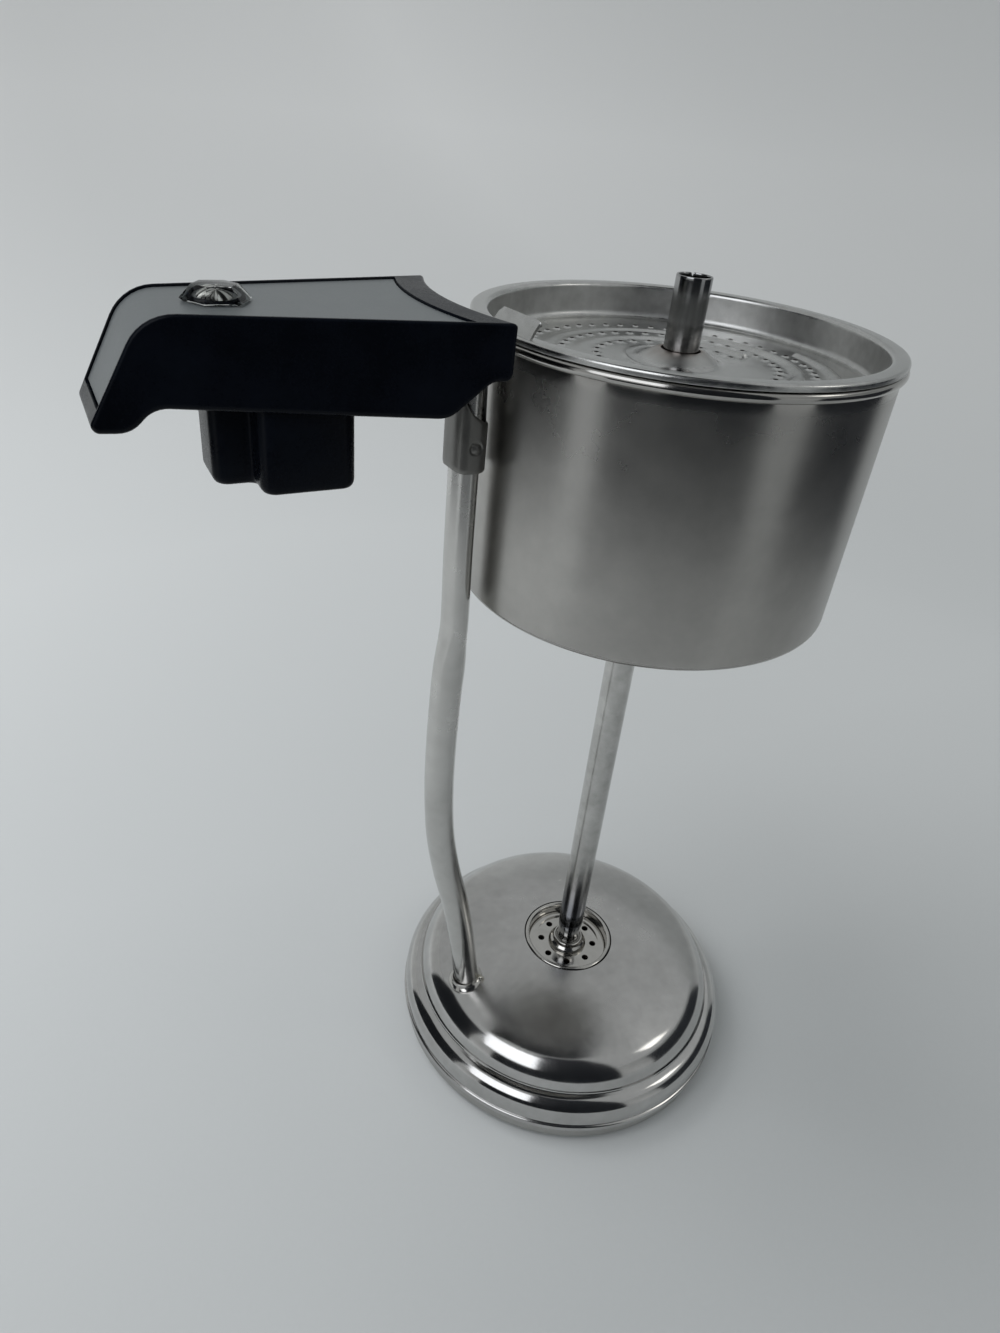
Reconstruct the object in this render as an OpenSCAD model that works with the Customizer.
// Lift-out heater and pump insert of an electric coffee percolator.
// Heater base at the bottom, coffee basket with spreader lid on the pump
// tube, and a handle with the appliance inlet on a bent conduit.
// The handle points along -X. All sizes are in millimetres.

/* [Heater base] */
// Outer radius of the rolled hem between bottom pan and shell
base_r = 54.8; // [50:0.1:60]
// Inset of the bottom pan from the hem
pan_inset = 0.8; // [0.6:0.1:1.2]
// Height of the bottom pan up to the hem
pan_h = 5.4; // [4.5:0.1:7]
// Height of the rolled hem
hem_h = 1.9; // [1:0.1:3]
// Height of the lower shell wall above the hem
lower_wall_h = 5.9; // [4:0.1:8]
// Radius of the lower shoulder
lower_shoulder_r = 3.2; // [2:0.1:4]
// Inset of the crease between the two steps from the hem
step_inset = 4.6; // [4.2:0.1:7]
// Height of the upper shell wall
upper_wall_h = 3.6; // [2:0.1:6]
// Radius of the upper shoulder
upper_shoulder_r = 5.2; // [3:0.1:6]
// Rise of the dome from its shoulder to the well
dome_rise = 6.4; // [4:0.1:9]
// Sheet thickness of the heater base
base_sheet = 0.8; // [0.6:0.1:1.2]

/* [Well] */
// Outer radius of the rolled lip round the well
well_lip_r = 14.7; // [14:0.1:17]
// Radius of the rolled bead on the well lip
well_bead_r = 0.8; // [0.5:0.1:1]
// Inner radius of the well above its ledge
well_r = 13.1; // [12.5:0.1:13.3]
// Depth of the ledge that carries the strainer, below the lip
ledge_depth = 4.2; // [3.5:0.1:6]
// Inner radius of the boiling chamber below the ledge
chamber_r = 11.4; // [11:0.1:11.8]
// Height of the chamber floor above the table
chamber_floor_z = 8.6; // [6:0.1:12]

/* [Heater] */
// Outer radius of the cast heater plate
plate_r = 38; // [36:0.5:42]
// Thickness of the cast heater plate
plate_t = 3; // [2:0.1:4]
// Height of the underside of the heater plate above the table
plate_z = 11; // [9:0.1:13]
// Mean radius of the sheathed heating ring
element_ring_r = 27; // [22:0.5:32]
// Radius of the heating element's sheath
element_sheath_r = 3.4; // [2.5:0.1:4]
// Angle of the heating ring that is left open at its cold ends
element_gap_deg = 40; // [25:1:70]
// Radius of the thermostat's can
thermostat_r = 7; // [5:0.1:8]
// Height of the thermostat's can
thermostat_h = 6; // [4:0.1:8]

/* [Conduit] */
// Radius of the round conduit tube
conduit_r = 3.9; // [3.5:0.1:4.2]
// Wall of the conduit tube
conduit_wall = 0.6; // [0.5:0.05:0.9]
// Inset of the conduit's foot from the hem
conduit_foot_inset = 16.8; // [15:0.1:18]
// Distance of the conduit's bulge from the axis
conduit_bulge_u = 52.8; // [51:0.1:54]
// Distance of the flattened upper conduit from the axis
conduit_top_u = 51.3; // [51.2:0.05:51.5]
// Half thickness of the flattened conduit, along the radius
flat_half_t = 2.2; // [2:0.05:2.3]
// Half width of the flattened conduit, across the radius
flat_half_w = 4.6; // [4:0.1:4.8]
// Radius of the brazed collar at the conduit's foot
collar_r = 6.2; // [5.5:0.1:7]
// Radius of each lead wire over its insulation
wire_r = 1.1; // [0.9:0.05:1.3]

/* [Bracket] */
// Wall of the sheet-metal bracket
bracket_wall = 0.6; // [0.5:0.05:0.7]
// Length of the bracket below the handle's nose
bracket_len = 24.2; // [20:0.1:28]
// Radius of the curved scoop in the bracket's near cheek
scoop_r = 8; // [6:0.1:9]
// Length of the bracket's arm inside the handle
arm_len = 28; // [25:0.5:30]

/* [Handle] */
// Height of the handle's top above the table
handle_top_z = 235.7; // [233:0.1:238]
// Depth of the handle at its heel, behind the nose
handle_depth = 17; // [16:0.1:18]
// Depth of the handle at its grip, before the tail
grip_depth = 14.9; // [14:0.1:16]
// Radius of the concave front that faces the basket
handle_front_r = 57.8; // [56.5:0.1:60]
// Depth of the nose that rests on the pot's rim
nose_depth = 10.2; // [9.8:0.1:11.4]
// Half width of the handle at its front corners
handle_front_half_w = 22; // [20:0.1:24]
// Half width of the handle at its tail
handle_tail_half_w = 9.7; // [9:0.1:12]
// Distance of the tail's bend from the axis
tail_bend_u = 109; // [107:0.5:114]
// Radius of the bend between the top and the tail
tail_bend_r = 9; // [6:0.1:11]
// Slope of the tail below the horizontal, in degrees
tail_slope_deg = 61.7; // [55:0.1:70]
// Depth of the tail's lower edge below the handle's top
tail_depth = 19.1; // [18:0.1:21]
// Wall of the moulded handle beside its cavity
handle_wall = 3; // [2.5:0.1:4]
// Thickness of the inlay plate
inlay_t = 1; // [0.8:0.1:1.4]
// Margin between the inlay plate and the handle's edge
inlay_margin = 1.1; // [0.8:0.1:2]
// Radius of the inlay plate's front edge
inlay_front_r = 64; // [62:0.1:66]

/* [Signal light] */
// Distance of the signal light from the axis
jewel_u = 100.6; // [98:0.1:102]
// Distance from the jewel's centre to its far corners
jewel_r = 6.1; // [5.5:0.1:7]
// Breadth of the jewel as a share of its length
jewel_share = 0.78; // [0.7:0.01:1]
// Height of the jewel above the inlay plate
jewel_h = 2.4; // [1.8:0.1:4]
// Radius of the jewel's flat table
jewel_table_r = 4.2; // [3:0.1:4.6]
// Radius of the signal lamp's glass
lamp_r = 2.6; // [2:0.1:3]

/* [Appliance inlet] */
// Distance of the shroud's basket side from the axis
shroud_u = 80; // [79.5:0.1:82]
// Length of the wide block along the handle
shroud_wide_len = 17.6; // [17:0.1:19]
// Half width of the wide block
shroud_wide_half_w = 13.5; // [13:0.1:13.8]
// Length of the narrow key block along the handle
shroud_key_len = 7; // [5:0.1:8]
// Half width of the narrow key block
shroud_key_half_w = 6.5; // [5:0.1:8]
// Corner radius of the shroud
shroud_corner_r = 2.8; // [2:0.1:3.4]
// Wall of the shroud
shroud_wall = 2; // [1.6:0.1:2.4]
// Depth of the shroud's mouth below the handle's grip
shroud_depth = 16.2; // [14:0.1:18]
// Thickness of the shroud's roof
shroud_roof_t = 2.4; // [2:0.1:3]
// Radius of each inlet pin
pin_r = 2.4; // [2:0.05:2.6]
// Distance between the two pins' centres
pin_pitch = 12.7; // [11:0.1:13.5]
// Radius of a pin's shank through the shroud's roof
pin_shank_r = 1.8; // [1.4:0.05:2]
// Set-back of the pins inside the shroud's mouth
pin_setback = 2; // [1:0.1:4]

/* [Pump] */
// Outer radius of the pump tube
tube_r = 4; // [3.6:0.05:4.2]
// Wall of the pump tube
tube_wall = 0.5; // [0.4:0.05:0.7]
// Height of the pump tube's top above the table
tube_top_z = 240; // [238:0.5:250]
// Radius of the pump tube at its swaged neck
neck_r = 3.5; // [3.3:0.05:3.55]
// Radius of the bell at the tube's foot
bell_r = 8; // [6:0.1:9]
// Gap between the bell and the chamber floor
bell_gap = 1.2; // [0.8:0.1:2]
// Thickness of the perforated strainer disc
strainer_t = 0.8; // [0.6:0.1:1.2]
// Number of holes in the strainer disc
strainer_holes = 8; // [6:1:10]
// Radius of the circle that the strainer holes lie on
strainer_hole_ring_r = 8.8; // [8.2:0.1:9]
// Radius of each strainer hole
strainer_hole_r = 1.1; // [0.8:0.05:1.2]
// Radius of the lower collar ring on the strainer
pump_collar_r = 5.4; // [5:0.1:6]
// Height of the collar on the strainer
pump_collar_h = 4.2; // [3:0.1:5]
// Outer radius of the floating valve washer
valve_r = 10.1; // [10:0.05:10.3]
// Thickness of the valve washer
valve_t = 0.6; // [0.4:0.05:0.8]
// Lift of the valve washer
valve_lift = 1.4; // [1:0.1:1.6]

/* [Basket] */
// Outer radius of the basket at its floor
basket_r = 46.4; // [45:0.1:46.8]
// Outer radius of the basket below its bead
basket_top_r = 46.8; // [45:0.1:47]
// Height of the basket's underside above the table
basket_z = 168.2; // [160:0.1:175]
// Height of the basket from its underside to its bead
basket_h = 60.6; // [60.4:0.1:60.8]
// Wall of the basket
basket_wall = 0.7; // [0.5:0.05:1]
// Radius of the basket's rolled bead
basket_bead_r = 1.1; // [0.9:0.05:1.2]
// Wall of the basket's centre tube
centre_tube_wall = 0.6; // [0.5:0.05:0.8]
// Height of the basket's centre tube above its floor
centre_tube_h = 34; // [20:1:44]
// Rings of perforations in the basket's floor
floor_hole_rings = 4; // [2:1:5]
// Radius of each perforation
floor_hole_r = 0.9; // [0.6:0.1:1.1]

/* [Spreader lid] */
// Outer radius of the lid's flange
lid_r = 47.6; // [47:0.1:48]
// Width of the lid's flange
flange_w = 3.3; // [3:0.1:4]
// Depth of the lid's pan
lid_depth = 12; // [9:0.1:13]
// Sheet thickness of the lid
lid_sheet = 0.7; // [0.5:0.05:0.9]
// Radius of the corner between the pan's wall and floor
lid_corner_r = 2.6; // [2:0.1:4]
// Radius of the raised boss at the lid's centre
lid_boss_r = 10.5; // [9:0.1:12]
// Height of the raised boss
lid_boss_h = 2.6; // [1.5:0.1:4]
// Number of turns of the spiral rib and of the row of holes
spiral_turns = 2.5; // [1.5:0.5:2.5]
// Radius where the spiral row of holes starts
spiral_start_r = 17; // [16:0.1:18]
// Distance between two turns of the spiral
spiral_pitch = 8; // [7:0.1:8.2]
// Radius of the rib's round back
rib_r = 2.3; // [1.8:0.1:2.6]
// Height of the rib above the pan's floor
rib_h = 0.8; // [0.5:0.05:1]
// Radius of each spreader hole
lid_hole_r = 0.55; // [0.4:0.05:0.7]
// Distance between neighbouring spreader holes
lid_hole_step = 4; // [3.4:0.1:6]
// Width of the finger ear on the lid's rim
ear_w = 14; // [10:0.1:16]
// Height of the finger ear above the flange
ear_h = 3.4; // [2:0.1:4]
// Bearing of the finger ear from the handle, in degrees
ear_bearing = 5.6; // [-20:0.1:20]

/* [Fits] */
// Radial running clearance between sliding pieces
run_gap = 0.3; // [0.2:0.05:0.35]
// Radial clearance between the lid and the pump tube
lid_gap = 0.5; // [0.35:0.05:0.8]
// Clearance between pieces that are fixed together
fit_gap = 0.05; // [0.03:0.01:0.1]

/* [Hidden] */
$fn = 96;

// Radii that follow the hem of the base
pan_r = base_r - pan_inset;
step_r = base_r - step_inset;
conduit_foot_u = base_r - conduit_foot_inset;

// Heights of the heater base, from the table up
hem_z = pan_h;
shell_z = hem_z + hem_h;
lower_shoulder_z = shell_z + lower_wall_h;
step_z = lower_shoulder_z + lower_shoulder_r;
upper_shoulder_z = step_z + upper_wall_h;
dome_edge_z = upper_shoulder_z + upper_shoulder_r * 0.8;
dome_edge_r = step_r - 0.8 - upper_shoulder_r * 0.6;
well_z = dome_edge_z + dome_rise;
ledge_z = well_z - ledge_depth;

// Places on the handle, from the table up and from the axis outwards
heel_z = handle_top_z - handle_depth;
grip_z = handle_top_z - grip_depth;
nose_z = handle_top_z - nose_depth;
tail_low_z = handle_top_z - tail_depth;
cavity_z = grip_z + 2;
arm_z = nose_z + 0.8;
bracket_low_z = nose_z - bracket_len;
pinch_z = nose_z - 69;
conduit_end_z = nose_z + 2;
arm_h = 5;
arm_half_w = 6;
arm_end_u = conduit_top_u + arm_len;
cavity_front_u = handle_front_r + 6.7;
cavity_back_u = tail_bend_u;
nose_end_u = handle_front_r + 2.6;
heel_u = nose_end_u + 9;
tail_reach_u = tail_bend_u + 21;
handle_box = handle_depth + 21;
front_u = handle_front_r - 16;
shroud_low_z = grip_z - shroud_depth;
shroud_end_u = shroud_u + shroud_wide_len;
pin_u = shroud_u + shroud_wide_len / 2;
pin_low_z = shroud_low_z + pin_setback;
pin_high_z = cavity_z + 3.6;
pin_shoulder_z = grip_z - 4.2;
nut_t = 2.2;
jewel_stem_r = lamp_r + 1.3;

// Heights on the pump and in the basket
strainer_z = ledge_z;
stop_ring_z = strainer_z - valve_lift - valve_t - 0.8;
bell_z = chamber_floor_z + bell_gap;
foot_r = tube_r - 0.2;
basket_floor_z = basket_z + basket_wall;
basket_bead_z = basket_z + basket_h - basket_bead_r;
lid_curl_h = 0.8;
lid_flange_z = basket_bead_z + basket_bead_r + lid_curl_h;
lid_top_z = lid_flange_z + lid_sheet;
lid_floor_z = lid_top_z - lid_depth;
pan_wall_r = lid_r - flange_w;
lid_hole_edge_r = tube_r + lid_gap;

// Turns the handle's side of the part to -X
module outward() {
    rotate([0, 0, 180]) children();
}

// A plain ring between two heights
module ring(outer, inner, low, high) {
    translate([0, 0, low]) difference() {
        cylinder(r = outer, h = high - low);
        translate([0, 0, -1]) cylinder(r = inner, h = high - low + 2);
    }
}

// Points of an arc, for outlines
function arc(cx, cy, r, from, to, n = 10) =
    [for (i = [0:n]) let (a = from + (to - from) * i / n) [cx + r * cos(a), cy + r * sin(a)]];

// A rectangle with round corners, from straight pieces and circles
module rounded_rect(x0, x1, half_w, r) {
    translate([x0 + r, -half_w]) square([x1 - x0 - 2 * r, 2 * half_w]);
    translate([x0, -half_w + r]) square([x1 - x0, 2 * half_w - 2 * r]);
    for (x = [x0 + r, x1 - r], y = [-half_w + r, half_w - r]) translate([x, y]) circle(r = r, $fn = 32);
}

// An oval of two half circles, long across the handle
module oval(half_t, half_w) {
    translate([-half_t, -half_w + half_t]) square([2 * half_t, 2 * (half_w - half_t)]);
    for (y = [-1, 1]) translate([0, y * (half_w - half_t)]) circle(r = half_t, $fn = 48);
}

// ---- Heater base ----

// Outside of the pressed shell, from the well out to the hem
function shell_outline(d) = concat(
    [[well_lip_r + fit_gap, well_z - 0.5 - d]],
    [for (i = [1:6]) let (t = i / 6)
        [well_lip_r + (dome_edge_r - well_lip_r) * t - d * 0.2 * t, well_z - 0.5 - d - (dome_rise - 0.5) * t * t]],
    arc(step_r - 0.8 - upper_shoulder_r, upper_shoulder_z, upper_shoulder_r - d, 53, 0, 8),
    [[step_r - d, step_z - d]],
    arc(base_r - 0.6 - lower_shoulder_r, lower_shoulder_z, lower_shoulder_r - d, 68, 0, 8),
    [[base_r - 0.3 - d, shell_z]]);

function reversed(list) = [for (i = [len(list) - 1:-1:0]) list[i]];

module base_shell() {
    color("silver") difference() {
        rotate_extrude($fn = 128) polygon(concat(shell_outline(0),
            arc(base_r - hem_h / 2, hem_z + hem_h / 2, hem_h / 2, 45, -210, 12),
            reversed(shell_outline(base_sheet))));
        outward() translate([conduit_foot_u, 0, step_z])
            cylinder(r = conduit_r + fit_gap + 0.3, h = well_z - step_z, $fn = 48);
    }
}

module bottom_pan() {
    rim = 1.4;
    color("silver") rotate_extrude($fn = 128) difference() {
        union() {
            square([pan_r - rim, pan_h]);
            translate([0, rim]) square([pan_r, pan_h - rim]);
            translate([pan_r - rim, rim]) circle(r = rim, $fn = 24);
        }
        translate([-1, base_sheet]) square([1 + pan_r - rim, pan_h]);
        translate([-1, rim]) square([1 + pan_r - base_sheet, pan_h]);
    }
}

module well_cup() {
    color("gainsboro") rotate_extrude($fn = 96) {
        translate([well_lip_r - well_bead_r, well_z - well_bead_r]) circle(r = well_bead_r, $fn = 24);
        translate([well_r, ledge_z - base_sheet])
            square([base_sheet, ledge_depth + base_sheet - well_bead_r]);
        translate([chamber_r, ledge_z - base_sheet]) square([well_r - chamber_r + base_sheet, base_sheet]);
    }
}

module boiling_chamber() {
    floor_r = 2;
    top_z = ledge_z - base_sheet;
    color("gainsboro") rotate_extrude($fn = 96) difference() {
        union() {
            translate([0, chamber_floor_z - base_sheet]) square([chamber_r + base_sheet - floor_r, floor_r]);
            translate([0, chamber_floor_z - base_sheet + floor_r])
                square([chamber_r + base_sheet, top_z - chamber_floor_z + base_sheet - floor_r]);
            translate([chamber_r + base_sheet - floor_r, chamber_floor_z - base_sheet + floor_r])
                circle(r = floor_r, $fn = 32);
        }
        translate([-1, chamber_floor_z]) square([1 + chamber_r - floor_r + base_sheet, top_z]);
        translate([-1, chamber_floor_z + floor_r - base_sheet]) square([1 + chamber_r, top_z]);
        translate([chamber_r + base_sheet - floor_r, chamber_floor_z - base_sheet + floor_r])
            circle(r = floor_r - base_sheet, $fn = 32);
    }
}

module heater_plate() {
    color("darkgray") difference() {
        ring(plate_r, chamber_r + base_sheet + fit_gap, plate_z, plate_z + plate_t);
        outward() translate([plate_r - 5, 0, plate_z - 1])
            cylinder(r = 2 * wire_r + 1.6, h = plate_t + 2, $fn = 32);
    }
}

module heating_element() {
    color("dimgray") rotate([0, 0, 180 + element_gap_deg / 2])
        rotate_extrude(angle = 360 - element_gap_deg, $fn = 96)
            translate([element_ring_r, plate_z - element_sheath_r]) circle(r = element_sheath_r, $fn = 24);
}

module thermostat() {
    color("goldenrod") translate([element_ring_r, 0, plate_z + plate_t]) {
        cylinder(r = thermostat_r, h = thermostat_h * 0.6);
        cylinder(r = thermostat_r * 0.7, h = thermostat_h);
        for (y = [-1, 1]) translate([-0.4, y * thermostat_r * 0.45 - 1.6, 0])
            cube([0.8, 3.2, thermostat_h + 3]);
    }
}

// ---- Conduit and wires ----

// Centre line of the conduit: distance from the axis and height
conduit_path = [
    [conduit_foot_u - 0.6, well_z - 9], [conduit_foot_u + 0.7, well_z], [conduit_foot_u + 2.1, well_z + 9],
    [conduit_foot_u + 4.2, well_z + 22], [conduit_foot_u + 7.1, well_z + 36],
    [conduit_foot_u + 10.6, well_z + 50], [conduit_bulge_u - 1.5, well_z + 65],
    [conduit_bulge_u - 0.3, well_z + 80], [conduit_bulge_u, well_z + 95], [conduit_bulge_u - 0.3, pinch_z - 14],
    [conduit_bulge_u - 0.7, pinch_z - 6], [conduit_top_u + 0.5, pinch_z], [conduit_top_u, pinch_z + 8],
    [conduit_top_u, pinch_z + 30], [conduit_top_u, conduit_end_z]];

// Share of the flattening at a height: round below, flat above
function flatness(z) = min(1, max(0, (z - pinch_z + 7) / 13));

// One ring of a tube round a point of its path; it stays in the plane that
// is square to the path's direction
function tube_ring(path, i, half_t, half_w, side, n) =
    let (a = path[max(0, i - 1)], b = path[min(len(path) - 1, i + 1)], d = (b - a) / norm(b - a))
    [for (k = [0:n - 1]) let (q = 360 * k / n)
        [path[i][0] + half_t * cos(q) * d[1], side + half_w * sin(q), path[i][1] - half_t * cos(q) * d[0]]];

function conduit_half(z, inset) = let (f = flatness(z))
    [conduit_r + (flat_half_t - conduit_r) * f - inset, conduit_r + (flat_half_w - conduit_r) * f - inset];

// Faces of a tube with an outer and an inner skin
function skin_faces(rings, n, base, flip) =
    [for (i = [0:rings - 2], k = [0:n - 1]) let (a = base + i * n, b = a + n, m = (k + 1) % n)
        flip ? [a + k, a + m, b + m, b + k] : [a + k, b + k, b + m, a + m]];

module conduit_tube() {
    n = 28;
    rings = len(conduit_path);
    points = [for (inset = [0, conduit_wall], i = [0:rings - 1])
        let (h = conduit_half(conduit_path[i][1], inset))
        each tube_ring(conduit_path, i, h[0], h[1], 0, n)];
    inner = rings * n;
    last = (rings - 1) * n;
    ends = [for (k = [0:n - 1]) let (m = (k + 1) % n) each [
        [k, m, inner + m, inner + k],
        [last + k, inner + last + k, inner + last + m, last + m]]];
    color("lightgray") outward()
        polyhedron(points, concat(skin_faces(rings, n, 0, false), skin_faces(rings, n, inner, true), ends));
}

module conduit_collar() {
    lean = atan(2 * (dome_rise - 0.5) * (conduit_foot_u - well_lip_r) / pow(dome_edge_r - well_lip_r, 2));
    color("silver") outward() translate([conduit_foot_u, 0, dome_height(conduit_foot_u)])
        rotate([0, lean, 0]) difference() {
            union() {
                cylinder(r = collar_r, h = 1, $fn = 48);
                translate([0, 0, 1]) cylinder(r1 = collar_r - 0.6, r2 = conduit_r + 0.6, h = 1.4, $fn = 48);
            }
            translate([0, 0, -1]) cylinder(r = conduit_r + 0.35, h = 5, $fn = 48);
        }
}

// Height of the shell's dome at a distance from the axis
function dome_height(u) = let (t = (u - well_lip_r) / (dome_edge_r - well_lip_r))
    well_z - 0.5 - (dome_rise - 0.5) * t * t;

// Centre line of the lead wires: up the conduit and out along the arm
wire_path = concat(
    [[plate_r - 5, plate_z + 1]],
    [for (i = [0:len(conduit_path) - 2]) conduit_path[i]],
    [[conduit_top_u, arm_z + 1.5], [conduit_top_u + 1.4, arm_z + 2.5], [conduit_top_u + 3.4, arm_z + 2.6],
     [arm_end_u - 13, arm_z + 2.6], [arm_end_u - 8, arm_z + 4], [arm_end_u - 1, arm_z + 4],
     [pin_u - 4, pin_high_z + 2.2], [pin_u, pin_high_z + wire_r + 0.1]]);

module wire(side) {
    n = 8;
    rings = len(wire_path);
    // Side by side in the conduit, then apart to the two pins
    apart = [for (i = [0:rings - 1]) i == rings - 1 ? pin_pitch / 2 : i == rings - 2 ? pin_pitch / 2 - 2
        : wire_r + 0.3];
    points = [for (i = [0:rings - 1]) each tube_ring(wire_path, i, wire_r, wire_r, side * apart[i], n)];
    polyhedron(points, concat(skin_faces(rings, n, 0, false),
        [[for (k = [0:n - 1]) k]], [[for (k = [n - 1:-1:0]) (rings - 1) * n + k]]));
}

module lead_wires() {
    color("saddlebrown") outward() for (side = [-1, 1]) wire(side);
}

// ---- Bracket ----

module bracket() {
    inner_t = flat_half_t + 0.1;
    inner_w = flat_half_w + 0.1;
    color("darkgray") outward() difference() {
        union() {
            translate([conduit_top_u, 0, bracket_low_z]) linear_extrude(arm_z - bracket_low_z + arm_h)
                oval(inner_t + bracket_wall, inner_w + bracket_wall);
            translate([conduit_top_u, -arm_half_w, arm_z]) cube([cavity_front_u + 0.5 - conduit_top_u,
                2 * arm_half_w, arm_h]);
            translate([conduit_top_u, -arm_half_w, arm_z]) cube([arm_len, 2 * arm_half_w, bracket_wall]);
        }
        translate([conduit_top_u, 0, bracket_low_z - 1]) linear_extrude(arm_z - bracket_low_z + arm_h + 1
            - bracket_wall) oval(inner_t, inner_w);
        translate([conduit_top_u, -arm_half_w + bracket_wall, arm_z + bracket_wall])
            cube([arm_len, 2 * (arm_half_w - bracket_wall), arm_h - 2 * bracket_wall]);
        translate([conduit_top_u - 4.6, 1, arm_z - 6.6]) rotate([-90, 0, 0]) cylinder(r = scoop_r, h = 12);
        translate([conduit_top_u - 0.4, inner_w + bracket_wall - 0.35, bracket_low_z + 5.8])
            rotate([-90, 0, 0]) ring(1.9, 1.1, 0, 1);
        for (y = [-1, 1]) translate([arm_end_u - 5, 3.6 * y, arm_z - 1]) cylinder(r = 1.35, h = 3, $fn = 32);
    }
}

// ---- Handle ----

// Outside of the handle's top and tail, moved in by d
function skin(d) = let (up = 90 - tail_slope_deg, run = handle_top_z - tail_bend_r - tail_low_z)
    concat([[front_u, handle_top_z - d]],
        arc(tail_bend_u, handle_top_z - tail_bend_r, tail_bend_r - d, 90, up, 12),
        [[tail_bend_u + (tail_bend_r - d) * cos(up) + cot(tail_slope_deg) * (run + (tail_bend_r - d)
            * sin(up)), tail_low_z]]);

function cot(a) = cos(a) / sin(a);

// Half width of the handle at a distance from the axis
function handle_half_w(u) = handle_front_half_w - (handle_front_half_w - handle_tail_half_w)
    * (u - handle_front_r + 5) / (tail_bend_u - handle_front_r + 19);

// Height of the sloping underside at a distance from the axis
function under_z(u) = heel_z + (grip_z - heel_z) * (u - heel_u) / (grip_end_u - heel_u);

// The underside curls down to the tail between these distances
curl_r = 5.2;
curl_a = 48;
tail_u = skin(0)[len(skin(0)) - 1][0];
curl_u = tail_u - 4.6;
grip_end_u = curl_u - 2 * curl_r * sin(curl_a)
    - (grip_z - tail_low_z - 2 * curl_r * (1 - cos(curl_a))) * cot(curl_a);

// Plan outline of the handle, moved in by d
module handle_plan(d) {
    polygon([[front_u, -handle_half_w(front_u) + d], [tail_reach_u, -handle_half_w(tail_reach_u) + d],
             [tail_reach_u, handle_half_w(tail_reach_u) - d], [front_u, handle_half_w(front_u) - d]]);
}

// Side outline of the handle
module handle_side() {
    corner_r = 2.2;
    difference() {
        polygon(concat(skin(0),
            [[curl_u, tail_low_z]],
            arc(curl_u, tail_low_z + curl_r, curl_r, -90, -90 - curl_a, 6),
            arc(grip_end_u, grip_z - curl_r, curl_r, 90 - curl_a, 90, 6),
            [[heel_u, heel_z]],
            arc(heel_u, heel_z + 4, 4, -90, -135, 5),
            [[nose_end_u, nose_z], [front_u, nose_z]]));
        // The tail's lower corner is rounded
        translate([tail_u - 1.9, tail_low_z - 0.01]) difference() {
            square([4, 1.6]);
            translate([-0.45, corner_r]) circle(r = corner_r, $fn = 32);
        }
    }
}

// Everything between two side outlines, cut to the plan outline
module side_slab(half) {
    translate([0, half, 0]) rotate([90, 0, 0]) linear_extrude(2 * half) children();
}

module handle_body() {
    color("#15171b") outward() difference() {
        intersection() {
            side_slab(handle_box) handle_side();
            translate([0, 0, tail_low_z - 1]) linear_extrude(handle_box) handle_plan(0);
        }
        translate([0, 0, nose_z - 1]) cylinder(r = handle_front_r, h = nose_depth + 2, $fn = 128);
        inlay_space(inlay_t + fit_gap, inlay_margin, inlay_front_r - fit_gap);
        // Cavity under the inlay plate, shallower over the nose
        intersection() {
            union() {
                translate([cavity_front_u, -handle_box, arm_z])
                    cube([cavity_back_u - cavity_front_u, 2 * handle_box, handle_box]);
                translate([arm_end_u, -handle_box, cavity_z])
                    cube([cavity_back_u - arm_end_u, 2 * handle_box, handle_box]);
            }
            translate([0, 0, tail_low_z]) linear_extrude(handle_box) handle_plan(handle_wall);
            side_slab(handle_box) under_skin(inlay_t, 0);
            translate([0, 0, tail_low_z]) ring(cavity_back_u + 3, inlay_front_r + 1.2, 0, handle_box);
        }
        // Slot for the bracket's arm through the nose
        translate([front_u, -arm_half_w - fit_gap, arm_z - fit_gap])
            cube([cavity_front_u + 2 - front_u, 2 * arm_half_w + 2 * fit_gap, arm_h + 2 * fit_gap]);
        // Holes for the pins and the bracket's screws
        for (y = [-1, 1]) {
            translate([pin_u, y * pin_pitch / 2, heel_z - 1])
                cylinder(r = pin_shank_r + fit_gap, h = cavity_z - heel_z + 2, $fn = 48);
            translate([arm_end_u - 5, 3.6 * y, arm_z - 4]) cylinder(r = 1.05 + fit_gap, h = 6, $fn = 32);
        }
    }
}

// Side outline of all that lies deeper than d under the handle's skin
module under_skin(d, sink) {
    polygon(concat(skin(d), [[skin(d)[len(skin(d)) - 1][0], tail_low_z - sink - 1],
        [front_u, tail_low_z - sink - 1]]));
}

// Space of the inlay: the handle's skin to a depth, inside a margin
module inlay_space(depth, margin, front_r) {
    intersection() {
        side_slab(handle_box) difference() {
            under_skin(-2, 0);
            under_skin(depth, 1);
        }
        translate([0, 0, tail_low_z + 4]) linear_extrude(handle_box) handle_plan(margin);
        translate([0, 0, tail_low_z]) ring(tail_reach_u + 10, front_r, 0, handle_box);
    }
}

module handle_plate() {
    color("#70736f") outward() difference() {
        intersection() {
            side_slab(handle_box) difference() {
                under_skin(0.05, 0);
                under_skin(inlay_t, 1);
            }
            translate([0, 0, tail_low_z + 4 + fit_gap]) linear_extrude(handle_box)
                handle_plan(inlay_margin + fit_gap);
            translate([0, 0, tail_low_z]) ring(tail_reach_u + 10, inlay_front_r, 0, handle_box);
        }
        translate([jewel_u, 0, handle_top_z - 4]) cylinder(r = jewel_stem_r + fit_gap, h = 6, $fn = 48);
    }
}

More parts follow.
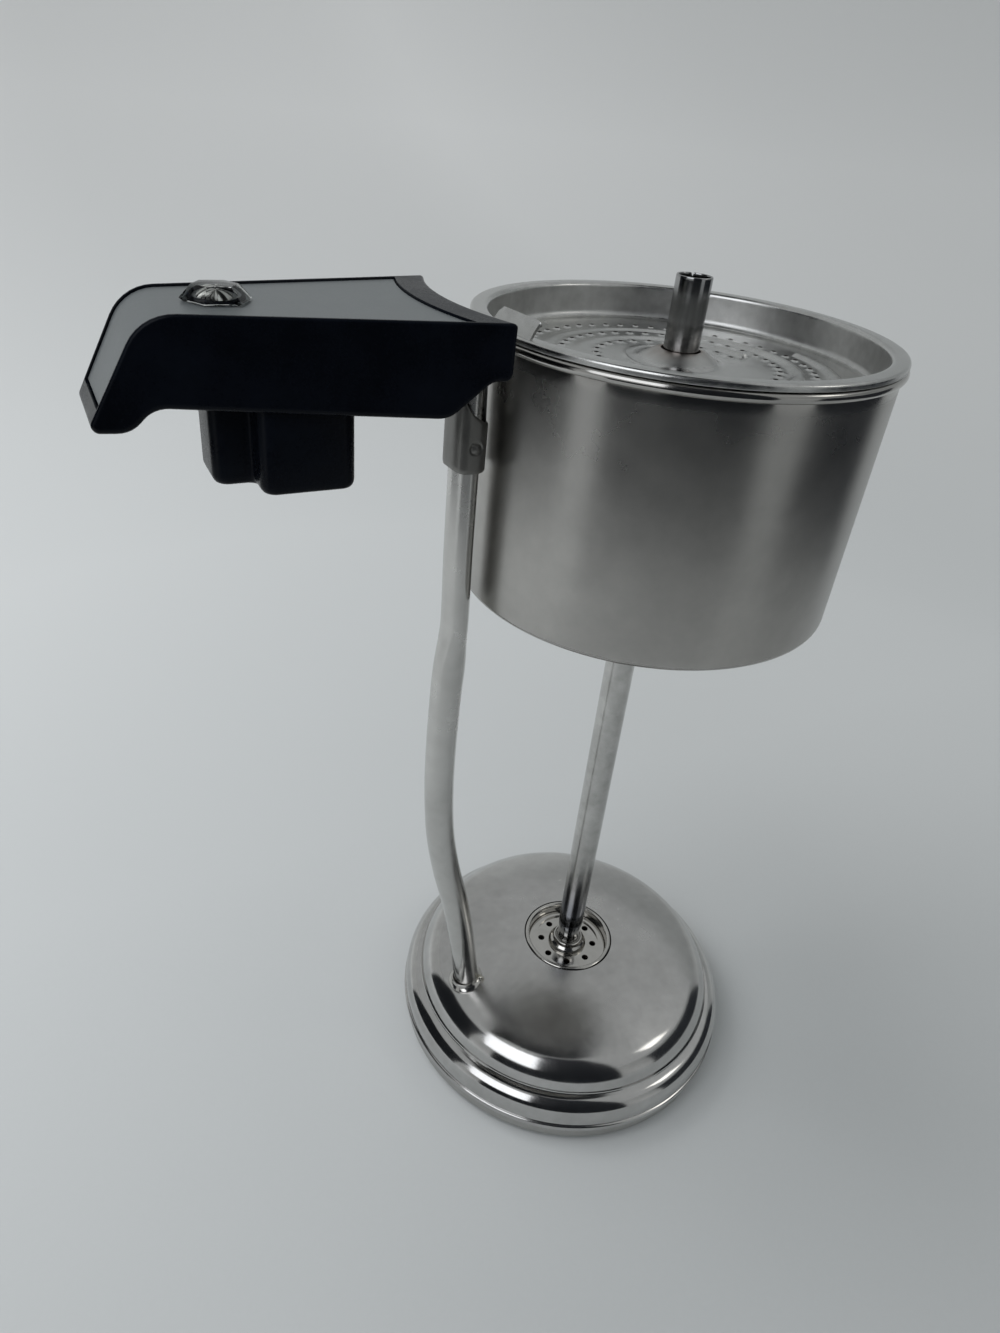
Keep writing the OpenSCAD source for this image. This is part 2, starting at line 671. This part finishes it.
module jewel_lens() {
    stem_h = 3.4;
    girdle_h = 0.7;
    color("ghostwhite", 0.6) outward() translate([jewel_u, 0, handle_top_z]) difference() {
        union() {
            scale([1, jewel_share, 1]) {
                cylinder(r = jewel_r, h = girdle_h, $fn = 6);
                translate([0, 0, girdle_h])
                    cylinder(r1 = jewel_r, r2 = jewel_table_r, h = jewel_h - girdle_h, $fn = 6);
            }
            translate([0, 0, -stem_h]) cylinder(r = jewel_stem_r, h = stem_h, $fn = 48);
        }
        translate([0, 0, -stem_h - 1]) cylinder(r = lamp_r + 0.4, h = stem_h + 0.6, $fn = 48);
    }
}

module signal_lamp() {
    color("orange") outward() translate([jewel_u, 0, cavity_z]) {
        cylinder(r = lamp_r + 1, h = 2.4, $fn = 32);
        translate([0, 0, 2.4]) cylinder(r = lamp_r, h = 5.4, $fn = 32);
        translate([0, 0, 7.8]) intersection() {
            sphere(r = lamp_r, $fn = 32);
            cylinder(r = lamp_r + 1, h = lamp_r + 1);
        }
    }
}

// ---- Appliance inlet ----

module shroud_outline(d) {
    rounded_rect(shroud_u + d, shroud_end_u - d, shroud_wide_half_w - d, max(0.6, shroud_corner_r - d));
    rounded_rect(shroud_end_u - shroud_corner_r - d - 2, shroud_end_u + shroud_key_len - d,
        shroud_key_half_w - d, max(0.6, shroud_corner_r - d));
}

module inlet_shroud() {
    color("#101114") outward() difference() {
        translate([0, 0, shroud_low_z]) linear_extrude(grip_z - shroud_low_z) shroud_outline(0);
        translate([0, 0, shroud_low_z - 1]) linear_extrude(pin_shoulder_z + 2 * fit_gap - shroud_low_z + 1)
            shroud_outline(shroud_wall);
        // The top follows the handle's sloping underside
        translate([0, 0, -fit_gap]) side_slab(handle_box) polygon([[shroud_u - 9, under_z(shroud_u - 9)],
            [grip_end_u, grip_z], [grip_end_u, grip_z + 9], [shroud_u - 9, grip_z + 9]]);
        for (y = [-1, 1]) translate([pin_u, y * pin_pitch / 2, shroud_low_z])
            cylinder(r = pin_shank_r + fit_gap, h = shroud_depth + 1, $fn = 48);
    }
}

module inlet_pins() {
    tip_h = 1;
    color("silver") outward() for (y = [-1, 1]) translate([pin_u, y * pin_pitch / 2, 0]) {
        translate([0, 0, pin_low_z]) cylinder(r1 = pin_r - 0.8, r2 = pin_r, h = tip_h, $fn = 48);
        translate([0, 0, pin_low_z + tip_h])
            cylinder(r = pin_r, h = pin_shoulder_z - pin_low_z - tip_h, $fn = 48);
        translate([0, 0, pin_low_z + tip_h])
            cylinder(r = pin_shank_r, h = pin_high_z - pin_low_z - tip_h, $fn = 48);
    }
}

module pin_nuts() {
    color("khaki") outward() for (y = [-1, 1]) translate([pin_u, y * pin_pitch / 2, cavity_z]) difference() {
        cylinder(r = pin_shank_r * 2.3, h = nut_t, $fn = 6);
        translate([0, 0, -1]) cylinder(r = pin_shank_r + fit_gap, h = nut_t + 2, $fn = 48);
    }
}

module handle_screws() {
    color("silver") outward() for (y = [-1, 1]) translate([arm_end_u - 5, 3.6 * y, arm_z + bracket_wall]) {
        difference() {
            cylinder(r = 2.2, h = 1.5, $fn = 32);
            translate([-3, -0.3, 0.8]) cube([6, 0.6, 1]);
        }
        translate([0, 0, -3.6]) cylinder(r = 1.05, h = 3.6, $fn = 32);
    }
}

// ---- Pump ----

module pump_tube() {
    neck_z = strainer_z + strainer_t + pump_collar_h + 1.5;
    outer = [[tube_r, tube_top_z], [tube_r, neck_z + 4.5], [neck_r + 0.1, neck_z + 1.2], [neck_r, neck_z],
        [neck_r + 0.1, neck_z - 1], [foot_r, neck_z - 2.4], [foot_r, stop_ring_z]];
    inner = [for (p = outer) [p[0] - tube_wall, p[1]]];
    color("gainsboro") rotate_extrude($fn = 64) polygon(concat(outer, reversed(inner)));
}

module pump_bell() {
    outer = [[foot_r, stop_ring_z], [foot_r, bell_z + 6], [foot_r + 1, bell_z + 3.4],
        [bell_r - 1.2, bell_z + 1], [bell_r, bell_z]];
    inner = [for (p = outer) [p[0] - tube_wall, p[1]]];
    color("gainsboro") rotate_extrude($fn = 64) polygon(concat(outer, reversed(inner)));
}

module pump_collar() {
    low = strainer_z + strainer_t;
    color("silver") rotate_extrude($fn = 64) difference() {
        union() {
            translate([0, low]) square([pump_collar_r, pump_collar_h * 0.35]);
            translate([0, low + pump_collar_h * 0.35]) square([pump_collar_r - 0.5, pump_collar_h * 0.3]);
            translate([0, low + pump_collar_h * 0.65]) square([pump_collar_r - 0.9, pump_collar_h * 0.35]);
        }
        translate([-1, low - 1]) square([1 + foot_r + 0.02, pump_collar_h + 2]);
    }
}

module strainer_disc() {
    color("gainsboro") difference() {
        ring(well_r - run_gap, foot_r + 0.02, strainer_z, strainer_z + strainer_t);
        for (i = [0:strainer_holes - 1]) rotate([0, 0, i * 360 / strainer_holes + 239])
            translate([strainer_hole_ring_r, 0, strainer_z - 1])
                cylinder(r = strainer_hole_r, h = strainer_t + 2, $fn = 24);
    }
}

module valve_stop() {
    color("dimgray") ring(tube_r + 1.4, foot_r + 0.02, stop_ring_z, stop_ring_z + 0.8);
}

module pump_valve() {
    color("darkgray") ring(valve_r, foot_r + run_gap, stop_ring_z + 0.8, stop_ring_z + 0.8 + valve_t);
}

module basket_stop() {
    color("silver") rotate_extrude($fn = 64) difference() {
        translate([tube_r, basket_z - 1.6]) circle(r = 1.6, $fn = 24);
        translate([-1, basket_z - 4]) square([1 + tube_r + 0.02, 6]);
        translate([0, basket_z]) square([12, 4]);
    }
}

// ---- Basket ----

module basket_body() {
    bottom_r = 2;
    hole_gap = 8.2;
    color("silver") difference() {
        union() {
            rotate_extrude($fn = 128) {
                difference() {
                    union() {
                        translate([0, basket_z]) square([basket_r - bottom_r, basket_wall]);
                        translate([basket_r - bottom_r, basket_z + bottom_r]) circle(r = bottom_r, $fn = 48);
                    }
                    translate([0, basket_floor_z]) square([basket_r - bottom_r, 8]);
                    translate([basket_r - bottom_r, basket_z + bottom_r])
                        circle(r = bottom_r - basket_wall, $fn = 48);
                    translate([basket_r - bottom_r - 4, basket_z + bottom_r]) square([8, 8]);
                }
                polygon([[basket_r, basket_z + bottom_r], [basket_top_r, basket_bead_z],
                    [basket_top_r - basket_wall, basket_bead_z], [basket_r - basket_wall, basket_z + bottom_r]]);
                translate([basket_top_r, basket_bead_z]) circle(r = basket_bead_r, $fn = 32);
            }
        }
        translate([0, 0, basket_z - 1]) cylinder(r = tube_r + run_gap + centre_tube_wall, h = 4, $fn = 64);
        for (ring_no = [1:floor_hole_rings], i = [0:8 * ring_no - 1])
            rotate([0, 0, i * 45 / ring_no]) translate([ring_no * hole_gap + 2, 0, basket_z - 1])
                cylinder(r = floor_hole_r, h = 4, $fn = 16);
    }
}

module basket_tube() {
    color("silver") {
        ring(tube_r + run_gap + centre_tube_wall, tube_r + run_gap, basket_z, basket_floor_z + centre_tube_h);
        ring(tube_r + run_gap + centre_tube_wall + 1.6, tube_r + run_gap + centre_tube_wall - 0.02,
            basket_floor_z, basket_floor_z + 0.6);
    }
}

// ---- Spreader lid ----

// Centre and radius of half turn number i of a spiral made of half circles
function half_turn(i, start, pitch) = [(i % 2 == 0 ? 0 : pitch / 4) - pitch / 8, start + i * pitch / 2];

// Point on the spiral after a number of half turns
function spiral_point(s, start, pitch) = let (i = floor(s), h = half_turn(i, start, pitch))
    [h[0] * 2 + h[1] * cos(180 * s), h[1] * sin(180 * s)];

// A round-backed rib that follows the spiral
module spiral_rib(start, half_turns, back_r, top_z) {
    for (i = [0:half_turns - 1]) let (h = half_turn(i, start, spiral_pitch))
        translate([h[0] * 2, 0, 0]) rotate([0, 0, 180 * i])
            rotate_extrude(angle = 180, $fn = 96) translate([h[1], top_z - back_r]) circle(r = back_r, $fn = 24);
}

module lid_pan() {
    wall_low = lid_floor_z + lid_corner_r;
    rotate_extrude($fn = 128) {
        // Flange with its turned-down edge
        translate([pan_wall_r, lid_flange_z]) square([flange_w, lid_sheet]);
        translate([lid_r - lid_sheet / 2, lid_flange_z - lid_curl_h + lid_sheet / 2 + fit_gap])
            circle(r = lid_sheet / 2, $fn = 16);
        translate([lid_r - lid_sheet, lid_flange_z - lid_curl_h + lid_sheet / 2 + fit_gap])
            square([lid_sheet, lid_curl_h - fit_gap]);
        translate([pan_wall_r - lid_sheet, wall_low]) square([lid_sheet, lid_top_z - wall_low]);
        translate([pan_wall_r - lid_corner_r, wall_low]) difference() {
            circle(r = lid_corner_r, $fn = 48);
            circle(r = lid_corner_r - lid_sheet, $fn = 48);
            translate([-lid_corner_r - 1, -lid_corner_r - 1]) square([lid_corner_r + 1, 2 * lid_corner_r + 2]);
            translate([-1, 0]) square([lid_corner_r + 2, lid_corner_r + 2]);
        }
        translate([lid_boss_r, lid_floor_z]) square([pan_wall_r - lid_corner_r - lid_boss_r + 0.01, lid_sheet]);
        // Raised boss round the pump tube
        polygon(concat(
            [for (i = [0:8]) let (t = i / 8) [boss_r(t), lid_floor_z + lid_sheet + boss_z(t)]],
            [for (i = [8:-1:0]) let (t = i / 8) [boss_r(t), lid_floor_z + boss_z(t)]]));
    }
}

function boss_r(t) = lid_boss_r + 0.01 - (lid_boss_r - lid_hole_edge_r) * t;
function boss_z(t) = lid_boss_h * (1 - cos(180 * t)) / 2;

// Finger ear, folded up from the flange
module lid_ear() {
    rotate([0, 0, 180 + ear_bearing]) translate([0, ear_w / 2, 0]) rotate([90, 0, 0])
        linear_extrude(ear_w) polygon([[lid_r - 1.1, lid_flange_z + 0.1], [lid_r - 0.25, lid_flange_z + 0.1],
            [lid_r - 0.25, lid_top_z], [lid_r - 2.6, lid_top_z + ear_h], [lid_r - 3.3, lid_top_z + ear_h - 0.4],
            [lid_r - 1.1, lid_top_z + 0.2]]);
}

module spreader_lid() {
    half_turns = 2 * spiral_turns;
    rib_start = spiral_start_r + spiral_pitch / 2;
    color("gainsboro") difference() {
        union() {
            lid_pan();
            difference() {
                spiral_rib(rib_start, half_turns - 1, rib_r, lid_floor_z + lid_sheet + rib_h);
                translate([0, 0, lid_floor_z - 20 + 0.1]) cylinder(r = 60, h = 20);
            }
            lid_ear();
        }
        spiral_rib(rib_start, half_turns - 1, rib_r - lid_sheet, lid_floor_z + rib_h);
        for (k = [0:spiral_hole_count - 1]) let (p = spiral_point(hole_turn(k), spiral_start_r, spiral_pitch))
            translate([p[0], p[1], lid_floor_z - 1]) cylinder(r = lid_hole_r, h = lid_sheet + 2, $fn = 16);
    }
}

// The holes are an equal step apart along the spiral: its length after s
// half turns is 180 degrees of a radius that grows by half a pitch each
spiral_hole_count = floor(spiral_len(2 * spiral_turns) / lid_hole_step);
function spiral_len(s) = PI * (spiral_start_r * s + spiral_pitch * s * (s - 1) / 4);
function hole_turn(k) = let (b = spiral_start_r - spiral_pitch / 4, c = k * lid_hole_step / PI)
    (-b + sqrt(b * b + spiral_pitch * c)) * 2 / spiral_pitch;

base_shell();
bottom_pan();
well_cup();
boiling_chamber();
heater_plate();
heating_element();
thermostat();
lead_wires();
conduit_tube();
conduit_collar();
bracket();
handle_body();
handle_plate();
jewel_lens();
signal_lamp();
inlet_shroud();
inlet_pins();
pin_nuts();
handle_screws();
pump_tube();
pump_bell();
pump_collar();
strainer_disc();
valve_stop();
pump_valve();
basket_stop();
basket_body();
basket_tube();
spreader_lid();
